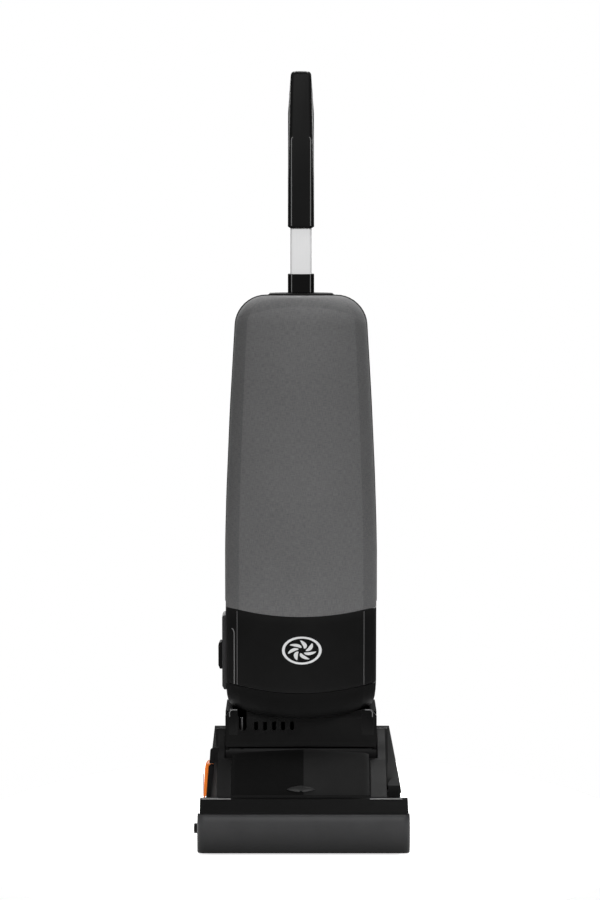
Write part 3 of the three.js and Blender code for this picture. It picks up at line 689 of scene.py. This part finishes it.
def front_cover():
    """Glossy shell between the textile and the bowl, its rims drawn in a little."""
    levels = [(CASE_BOTTOM + SEAM_GAP, 0.8, 1), (246.5, 0, 1), (254, 0, 1), (300, 0, 0),
              (350, 0, 1), (365, 0, 1), (FABRIC_FROM - 0.2, 0.6, 1)]
    rows = [case_row(z, inset, fade) for z, inset, fade in levels]
    piece = make("front_cover_shell", flat(rows), grid(rows), LOOKS["cover_gloss"], "bag_cover", 30)
    thicken(piece, 3)
    stand_for("lower_front_cover")


def on_cover(name, rows, lift, wall, look, closed=True):
    """A thin mark on the bowed cover from rows of (x, z) points, with a wall down to it."""
    place = [[(x, bow(x, BADGE["z"]) - lift, z) for x, z in row] for row in rows]
    piece = make(name, flat(place), grid(place, closed), look, "bag_cover", 30)
    thicken(piece, -wall)
    return piece


def badge_ring(name, inner, outer, lift, look):
    """A ring of the badge between two shares of its size."""
    rows = [oval(BADGE["half_x"] * share, BADGE["half_z"] * share, BADGE["x"], BADGE["z"], 72)
            for share in (inner, outer)]
    return on_cover(name, rows, lift, 0.5, look)


def badge_blade(start):
    """Rows of one curved blade that starts at an angle."""
    inner, outer, width, sweep, steps = 0.2, 0.72, 0.2, 0.75, 8
    rows = []
    for k in range(steps + 1):
        t = k / steps
        reach = lerp(inner, outer, t)
        half = width * math.sin(math.pi * (0.12 + 0.8 * t))
        row = []
        for side in (-1, -0.33, 0.33, 1):
            angle = start + sweep * t + side * half / (reach + 0.25)
            row.append((BADGE["x"] + BADGE["half_x"] * reach * math.cos(angle),
                        BADGE["z"] + BADGE["half_z"] * reach * math.sin(angle)))
        rows.append(row)
    return rows


def badge():
    """A plain oval badge with a pinwheel of curved blades instead of any mark."""
    blades, lift = 7, 0.9
    rim = badge_ring("badge_rim", 0.86, 1, lift, LOOKS["badge"])
    badge_ring("badge_field", 0.02, 0.87, 0.5, LOOKS["black_gloss"])
    stand_for("emblem_badge")
    for blade in range(blades):
        on_cover(f"badge_blade_{blade + 1}", badge_blade(math.tau * blade / blades), lift, 0.4,
                 LOOKS["badge"], closed=False)


def cover_beads():
    """Fine beads along the two creases, and the ridge round the left side panel, painted pale as
    highlights.
    """
    bottom, middle, top = 250, 300, 367
    for name, x in (("left", -100.4), ("right", 98.9)):
        y = side_band_y(-abs(x)) - 0.1
        rod("cover_bead_" + name, [(x, y, z) for z in (bottom, middle, top)], 0.8,
            LOOKS["dim_painted_highlight"], "bag_cover")
    ridge, hook, ridge_top = -105.2, -109, 335
    path = [(hook, side_band_y(hook), ridge_top + 2.5),
            (ridge - 1.5, side_band_y(ridge - 1.5), ridge_top + 1.5)]
    path += [(ridge, side_band_y(ridge), z) for z in (ridge_top - 3, middle, bottom)]
    rod("side_panel_ridge", path, 0.75, LOOKS["bright_painted_highlight"], "bag_cover")


def piping():
    """Round piping sewn into the seam between the textile and the back housing."""
    rod("case_piping", back_edge(-0.6, CASE_SPLIT - 1), 1.5, LOOKS["black_grip"], "bag_cover")


def stitches():
    """One row of short stitches beside the piping, as one mesh."""
    pitch, sides = 5, 6
    stitch = rings(((0.15, 0), (0.42, 0.6), (0.42, 2.6), (0.15, 3.2)), sides)
    last = sides * (len(stitch) - 1)
    solid = grid(stitch, closed=True)
    solid += [tuple(range(sides))[::-1], tuple(range(last, last + sides))]
    path = back_edge(-0.25, CASE_SPLIT - 8, -0.25)
    points, faces = [], []
    left = 0
    for a, b in zip(path, path[1:]):
        run = math.dist(a, b)
        along = (Vector(b) - Vector(a)).normalized()
        while left < run:
            faces += [tuple(len(points) + i for i in face) for face in solid]
            points += standing(flat(stitch), Vector(a) + along * left, along)
            left += pitch
        left -= run
    make("case_stitches", points, faces, LOOKS["thread"], "bag_cover", 60)


# ---- bowl and neck ----
def bowl():
    """Rounded underside of the black body; its lower edge curves up towards the sides."""
    profile = [(0, 0.8), (0.02, 0), (0.3, 0.7), (0.55, 2), (0.72, 3.8), (0.84, 6.5), (0.92, 10),
               (0.97, 15), (1, 26)]
    back, rise_by = 68, 98
    depth = CASE_BOTTOM - BOWL_BOTTOM
    rows = []
    for drop, inset in reversed(profile):
        outline = case_outline(CASE_BOTTOM, inset, back)
        rows.append([(x, y, CASE_BOTTOM + (1 - drop) * dip(x)
                      - drop * (depth - BOWL_RISE * min(1, abs(x) / rise_by) ** 2))
                     for x, y in outline])
    count = len(rows[0])
    faces = grid(rows) + [tuple(reversed(face)) for face in bridge(0, count)]
    faces += bridge((len(rows) - 1) * count, count)
    piece = make("bowl_shell", flat(rows), faces, LOOKS["black_bowl"], "upright", 30)
    stand_for("lower_housing")


def neck_front():
    """Front plates that close the neck under the bowl, each with a rounded shoulder and a pale rod
    painted on it as a highlight.
    """
    front, back = -46, -43
    low, brow_low, top = 168, 194.8, 209
    for name, side, inner in (("left", -1, -100), ("right", 1, 96)):
        outer = side * 114
        plate = [(inner, low, 0), (outer, low, 0), (outer, top, 5), (inner, top, 1)]
        slab("neck_corner_" + name, "y", [rounded(plate)], front - 0.2, back, 0.5,
             LOOKS["neck_black"], "upright")
        # painted highlight: a pale rod round each plate's outer top corner
        shine = [(outer - side * in_by, front, top - down_by)
                 for in_by, down_by in ((1.2, 12), (1.2, 5), (3, 1.6), (6, 0.8), (13, 0.8))]
        rod("neck_painted_highlight_" + name, shine, 0.75, LOOKS["bright_painted_highlight"], "upright")
        brow = [(side * x, z) for x, z in ((96, brow_low), (96, 208), (86, 206), (80, 204.5),
                                           (60, 200.5), (40, 197), (36, brow_low))]
        if side < 0:
            brow[:2] = [(-86, brow_low)]
        slab("neck_brow_" + name, "y", [brow], front - 0.1, back, 0.2, LOOKS["neck_black"],
             "upright")


# ---- floor head ----
def bumper():
    """Crowned soft bumper wrapped round the front corners."""
    left, right, front, back, radius = -161, 169, -152, -118.5, 12
    bends, least_share = 8, 0.12
    path = [(left, back, -1, 0)]
    for cx, start in ((left + radius, math.pi), (right - radius, 1.5 * math.pi)):
        for i in range(bends + 1):
            angle = start + math.pi / 2 * i / bends
            out = (math.cos(angle), math.sin(angle))
            path.append((cx + radius * out[0], front + radius + radius * out[1], *out))
    path.append((right, back, 1, 0))
    section = [(3.2, 8.5), (3, 5), (3.8, 2.6), (7, 1.1), (14, 0.4), (28, 0), (42, 0.3), (52, 1.3),
               (59, 3.2), (63.2, 5.8), (64.8, 9), (64.8, 10.2), (3.2, 10.2)]
    rows = []
    for x, y, nx, ny in path:
        share = least_share + (1 - least_share) * abs(ny)
        rows.append([(x - nx * inset * share, y - ny * inset * share, z) for z, inset in section])
    count = len(section)
    faces = grid(rows, closed=True)
    faces += [tuple(range(count))[::-1], tuple((len(rows) - 1) * count + i for i in range(count))]
    piece = make("bumper_crowned", flat(rows), faces, LOOKS["bumper_painted_shade"], "head", 50)
    tidy_mesh(piece.data)
    stand_for("front_bumper")


def release_button():
    """Orange button with a lip outside the base, black fins in front and a pale side plate."""
    outline = [(-155.4, 57.5, 0.8), (-153.2, 57.5, 0.8), (-153.2, 65.4, 0.8), (-139, 66.5, 1),
               (-139, 118, 1), (-148.5, 118.5, 3), (-152.8, 113.5, 4)]
    button = slab("release_button_cap", "y", [rounded(outline)], -30, -2, 0.9,
                  LOOKS["orange_plastic"], "release_button")
    stand_for("brush_release_button")
    fin = [(-150.9, 64.3, 0), (-136, 64.3, 0), (-134, 114, 0), (-142.5, 119, 1), (-146.8, 115, 1)]
    slab("button_fin", "y", [rounded(fin)], -34, -31, 0.6, LOOKS["head_black"], "head")
    hood = [(-145, 121.5, 1), (-130, 121.5, 0), (-130, 147.5, 0), (-139, 147.5, 1), (-143.6, 144, 2)]
    slab("button_hood_fin", "y", [rounded(hood)], -44, -41, 0.6, LOOKS["head_black"], "head")
    rod("button_side_plate", [(-156.2, -4, 60), (-156.2, -4, 97)], 1.1, LOOKS["pale_plate"],
        "release_button")


def shoulder_panels():
    """Satin inlays down the sloping fronts of both shoulders."""
    slope = [(-116.6, 84.6, 109.5), (-100, 98.7, 109.5), (-84.2, 112.5, 109.5), (-56, 129.2, 109.5),
             (-52.2, 131.7, 121.6), (-38, 145.3, 121.6), (-24.3, 158.6, 121.6), (-7, 169.7, 121.6)]
    for name, side, outer in (("left", -1, 131.5), ("right", 1, 133.5)):
        rows = [[(side * lerp(inner, outer, t), y - 0.2, z + 0.3) for t in (0, 0.33, 0.67, 1)]
                for y, z, inner in slope]
        if side < 0:
            rows = [row[::-1] for row in rows]
        panel = make("shoulder_panel_" + name, flat(rows), grid(rows), LOOKS["black_gloss"],
                     "head", 50)
        thicken(panel, 0.6)


def head_painted_highlights():
    """Thin rods painted pale as highlights along the band's and both shoulders' edges."""
    band_y, band_z, shoulder_y, shoulder_z = -127.3, 84.2, -5.6, 170.4
    for name, band, shoulder in (("left", (-109, -155), (-120.7, -134)),
                                 ("right", (107, 157), (118.8, 137))):
        rod("band_painted_highlight_" + name, [(x, band_y, band_z) for x in band], 0.75, LOOKS["bright_painted_highlight"],
            "head")
        rod("shoulder_painted_highlight_" + name, [(x, shoulder_y, shoulder_z) for x in shoulder], 0.5,
            LOOKS["dim_painted_highlight"], "head")


def centre_cover():
    """The swelling cover in front of the neck with a faint middle ridge; left of the ridge it is
    painted darker as shade, right of it paler as light.
    """
    # y, z and how far the cover swells there
    slope = [(-113, 82.5, 0), (-112.4, 85, 0.8), (-110, 88.5, 2), (-104, 97, 3.8), (-98, 104.5, 5),
             (-88, 115, 6), (-80, 123, 6.4), (-70, 131, 6.7), (-62, 136, 6.8), (-56.5, 139.4, 6.8),
             (-54.2, 139.6, 6.5), (-53.6, 138, 5), (-53.6, 132, 0)]
    columns, fold_height, rim_columns, rim_drop = 48, 3.2, 2.0, 1.2
    rows = []
    for i in range(columns + 1):
        x = lerp(LID["left"], LID["right"], i / columns)
        inwards = min(1, (min(i, columns - i) / rim_columns) ** 0.5)
        arch = 1 - ((x - LID["ridge"]) / LID["half_width"]) ** 2
        fold = fold_height * (1 - abs(x - LID["ridge"]) / LID["half_width"])
        rows.append([(x, y, z + (rise * (0.55 * arch + 0.15 * fold) - (1 - inwards) * rim_drop))
                     for y, z, rise in slope])
    piece = make("centre_cover_dome", flat(rows), grid(rows), LOOKS["dome_painted_shade"], "head", 25)
    # faces right of the ridge take the tone painted paler as light
    piece.data.materials.append(LOOKS["dome_painted_light"])
    for face in piece.data.polygons:
        if face.center.x > LID["ridge"] * MM:
            face.material_index = 1
    with editing(piece.data) as work:
        bmesh.ops.recalc_face_normals(work, faces=work.faces)
    thicken(piece, 3)
    stand_for("centre_cover")


def centre_cover_lens():
    """Oval finger pad low on the centre cover."""
    low, high, half_length, crown = (-110.8, 91.3), (-105.6, 98.6), 22, 1.4
    rows = []
    for t, share in ((0, 0.15), (0.25, 0.75), (0.5, 1), (0.75, 0.8), (1, 0.3)):
        y, z = lerp(low[0], high[0], t), lerp(low[1], high[1], t)
        rows.append([(side * half_length * share, y - 0.3, z + crown * (1 - side ** 2))
                     for side in (-1, -0.6, -0.2, 0.2, 0.6, 1)])
    pad = make("centre_cover_lens", flat(rows), grid(rows), LOOKS["black_satin"], "head", 60)
    thicken(pad, -1)


# ---- handle ----
def tube():
    """Drawn tube with flat faces and tight corners."""
    corners = [(-17, 69, 5), (17, 69, 5), (17, 91, 5), (-17, 91, 5)]
    piece = slab("handle_tube_drawn", "z", [rounded(corners)], 790, 1020, 0.3, LOOKS["tube"],
                 "upright")
    stand_for("handle_tube")


def grip_width(z):
    """Share of the grip's full width at a height."""
    slim_from, slim_run, slimming = 1150, 56, 0.215
    slim = min(max(0, (z - slim_from) / slim_run), 1.2)
    return 1 - slimming * slim


def grip():
    """Closed loop grip, slimmer at the top, with a long glossy front panel."""
    outlines = [rounded(GRIP_OUTER), rounded(GRIP_INNER)]
    body = slab("grip_loop", "x", outlines, -GRIP_HALF_WIDTH, GRIP_HALF_WIDTH, 5.6,
                LOOKS["black_grip"], "upright", 5)
    for vertex in body.data.vertices:
        vertex.co.x *= grip_width(vertex.co.z / MM)
    body.data.set_sharp_from_angle(angle=math.radians(60))
    stand_for("handle_grip")
    face = [(-14.4, 968.3, 1.5), (14.4, 968.3, 1.5), (15.2, 1105, 20), (12.4, 1208, 6),
            (-12.4, 1208, 6), (-15.2, 1105, 20)]
    panel = slab("grip_face", "y", [rounded(face)], 64.1, 66.7, 0.5, LOOKS["grip_gloss"], "upright")
    stand_for("grip_front_panel")


def handle_beads():
    """Beads beside the grip's panel and on the collar, and a rim on the grip's top, painted pale as
    highlights.
    """
    for name, side in (("left", -1), ("right", 1)):
        x = side * 15.2
        path = [(x, 64.8, 969), (x, 64.6, 1040), (x, 64.6, 1104), (x - side * 0.6, 64.6, 1107.5),
                (x - side * 2, 64.7, 1109.5)]
        rod("grip_bead_" + name, path, 0.8, LOOKS["bright_painted_highlight"], "upright")
        collar = [(side * 15, 61.7, z) for z in (863, 878, 891.4)]
        rod("collar_bead_" + name, collar, 0.7, LOOKS["bright_painted_highlight"], "upright")
    rim = [(-11.2, 66.4, 1210.6), (-8, 65.9, 1212.4), (8, 65.9, 1212.4), (11.2, 66.4, 1210.6)]
    rod("grip_top_rim", rim, 0.8, LOOKS["bright_painted_highlight"], "upright")


# ---- small parts of the back and underside ----
def surface(node, origin, direction):
    """Point in millimetres where a ray from outside meets a CAD node."""
    mesh = NODES[node].data
    tree = BVHTree.FromPolygons([vertex.co for vertex in mesh.vertices],
                                [face.vertices for face in mesh.polygons])
    return tree.ray_cast(Vector(origin) * MM, Vector(direction))[0] / MM


def screw(name, place, axis, radius, body):
    """Round screw head with a hollow drive, its axis pointing out of the part."""
    sides = 20
    head = rings(((1, 0), (1, 0.5), (0.86, 1.1), (0.5, 1.4), (0.46, 0.7)), sides, radius)
    last = sides * (len(head) - 1)
    faces = grid(head, closed=True) + [tuple(range(last, last + sides))]
    piece = make(name, standing(flat(head), place, axis), faces, LOOKS["steel"], body, 30)


def back_screws():
    """Assembly screws up both sides of the back housing."""
    from_edge, behind = 16, 400
    spots = [(side * (half_width(z) - from_edge), z)
             for z in (275, 400, 540, 680, 800) for side in (-1, 1)]
    for i, (x, z) in enumerate(spots):
        seat = surface("back_housing", (x, behind, z), (0, -1, 0))
        screw(f"back_screw_{i + 1}", (x, seat.y, z), (0, 1, 0), 4, "upright")


def base_screws():
    """Screws that hold the floor head's base to its cover, seen from below."""
    below = -200
    for i, (x, y) in enumerate(((-120, 70), (120, 70), (0, 95), (0, -20))):
        seat = surface("head_base", (x, y, below), (0, 0, 1))
        screw(f"base_screw_{i + 1}", (x, y, seat.z), (0, 0, -1), 3.6, "head")


def battery_ribs():
    """Finger ribs across the battery's back."""
    behind, lowest, pitch = 400, 330, 12
    for i in range(5):
        z = lowest + pitch * i
        seat = surface("battery_pack", (0, behind, z), (0, -1, 0))
        path = [(-27, seat.y, z), (-25, seat.y + 0.6, z), (25, seat.y + 0.6, z), (27, seat.y, z)]
        rod(f"battery_rib_{i + 1}", path, 1.5, LOOKS["black_grip"], "battery")


def latch_spring():
    """Coil under the battery's latch button."""
    radius, y, foot, rise, turns, steps = 3.85, 93, 467, 3.1, 3.5, 84
    path = [(radius * math.cos(math.tau * turns * i / steps),
             y + radius * math.sin(math.tau * turns * i / steps), foot + rise * i / steps)
            for i in range(steps + 1)]
    coil = rod("latch_coil", path, 0.3, LOOKS["steel"], "battery")
    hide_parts("latch_spring")
    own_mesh(coil)


def wheel_treads():
    """Shallow tread bars round both rear wheels."""
    bars, from_side = 30, 4
    bar_section = ((-0.04, -0.6), (-0.025, 0.4), (0.025, 0.4), (0.04, -0.6))
    bar_faces = ((0, 1, 5, 4), (1, 2, 6, 5), (2, 3, 7, 6), (3, 0, 4, 7), (3, 2, 1, 0), (4, 5, 6, 7))
    for name in ("left", "right"):
        low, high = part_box("rear_wheel_" + name)
        centre = [(a + b) / 2 / MM for a, b in zip(low, high)]
        radius = (high[2] - low[2]) / 2 / MM
        half = (high[0] - low[0]) / 2 / MM - from_side
        points, faces = [], []
        for bar in range(bars):
            faces += [tuple(len(points) + i for i in face) for face in bar_faces]
            for x in (-half, half):
                for turn, reach in bar_section:
                    angle = math.tau * bar / bars + turn
                    points.append((centre[0] + x, centre[1] + (radius + reach) * math.cos(angle),
                                   centre[2] + (radius + reach) * math.sin(angle)))
        make("wheel_tread_" + name, points, faces, LOOKS["rubber"], "wheel_" + name, 30)


# ---- stage, lights, camera; metres and watts ----
MIDDLE = (0, 0, 0.6)
# name, place, target, size, power, spread in degrees
LIGHTS = (
    ("key", (0.45, -3.5, 2.6), MIDDLE, (1.6, 1.4), 58, 180),
    ("fill", (-0.7, -3.5, 2.2), MIDDLE, (1.6, 1.4), 45, 180),
    ("strip_left", (-2.6, -0.5, 0.9), MIDDLE, (0.25, 2.2), 0.4, 180),
    ("strip_right", (2.6, -0.5, 0.9), MIDDLE, (0.25, 2.2), 0.4, 180),
    ("overhead_right", (0.82, -0.05, 2.4), (0.82, -0.05, 0), (1.3, 1.0), 5.5, 70),
    ("overhead_left", (-0.95, -0.05, 2.4), (-0.95, -0.05, 0), (1.3, 1.0), 2, 70),
    ("rear", (0.5, 2.6, 3.2), MIDDLE, (2.2, 1.2), 75, 180),
    ("rear_left", (-1.3, 3.4, 2.2), MIDDLE, (1.4, 1.4), 90, 180),
    ("rear_right", (1.6, 3.2, 1.8), MIDDLE, (1.2, 1.4), 60, 180),
)
BACKDROP_SEEN = 1.0
BACKDROP_LIGHT = 0.06


def studio():
    """Soft area lights round the machine."""
    for name, place, target, size, power, spread in LIGHTS:
        data = bpy.data.lights.new(name, "AREA")
        data.spread = math.radians(spread)
        data.shape = "RECTANGLE"
        data.size, data.size_y = size
        data.energy = power
        lamp = bpy.data.objects.new(name, data)
        bpy.context.scene.collection.objects.link(lamp)
        lamp.location = place
        lamp.rotation_euler = (Vector(target) - Vector(place)).to_track_quat("-Z", "Y").to_euler()


def world():
    """A white backdrop that adds only a little light of its own."""
    made = bpy.data.worlds.new("studio")
    bpy.context.scene.world = made
    made.use_nodes = True
    tree = made.node_tree
    seen = tree.nodes["Background"]
    lit = tree.nodes.new("ShaderNodeBackground")
    for shader, strength in ((seen, BACKDROP_SEEN), (lit, BACKDROP_LIGHT)):
        shader.inputs["Color"].default_value = (1, 1, 1, 1)
        shader.inputs["Strength"].default_value = strength
    rays = tree.nodes.new("ShaderNodeLightPath")
    mixed = tree.nodes.new("ShaderNodeMixShader")
    tree.links.new(rays.outputs["Is Camera Ray"], mixed.inputs[0])
    tree.links.new(lit.outputs[0], mixed.inputs[1])
    tree.links.new(seen.outputs[0], mixed.inputs[2])
    tree.links.new(mixed.outputs[0], tree.nodes["World Output"].inputs["Surface"])


def floor():
    """A pale round of floor that glows more towards its rim, to run out into the backdrop."""
    radius = 0.55
    mesh = bpy.data.meshes.new("floor")
    corners = [(x, y, 0) for x, y in oval(radius, radius, sides=64)]
    mesh.from_pydata(corners, [], [tuple(range(len(corners)))])
    look = Look("floor", Roughness=0.9, Specular_IOR_Level=0.1)
    reach = look.node("VectorMath", {0: look.place}, operation="LENGTH").outputs["Value"]
    look.link("Emission Strength", look.mapped(reach, 0.8, 1.1, 0.35, 0.54))
    pale = look.shades(look.noise(2, 2), grey(0.93), grey(0.96))
    look.link("Base Color", pale)
    look.link("Emission Color", pale)
    mesh.materials.append(look.material)
    piece = bpy.data.objects.new("floor", mesh)
    bpy.context.scene.collection.objects.link(piece)


def camera():
    """The view from straight in front, a little above the middle."""
    data = bpy.data.cameras.new("camera")
    data.lens = 101.1
    data.sensor_width = 36
    data.clip_end = 60
    eye = bpy.data.objects.new("camera", data)
    bpy.context.scene.collection.objects.link(eye)
    eye.location = (-0.0016, -3.98, 1.0)
    eye.rotation_euler = (math.radians(84.49), 0, 0)
    bpy.context.scene.camera = eye


dress_cad_nodes()
soft_case()
front_cover()
badge()
cover_beads()
piping()
stitches()
bowl()
neck_front()
bumper()
release_button()
shoulder_panels()
head_painted_highlights()
centre_cover()
centre_cover_lens()
tube()
grip()
handle_beads()
back_screws()
base_screws()
battery_ribs()
wheel_treads()
latch_spring()
world()
floor()
studio()
camera()
bpy.context.scene.view_settings.view_transform = "Standard"
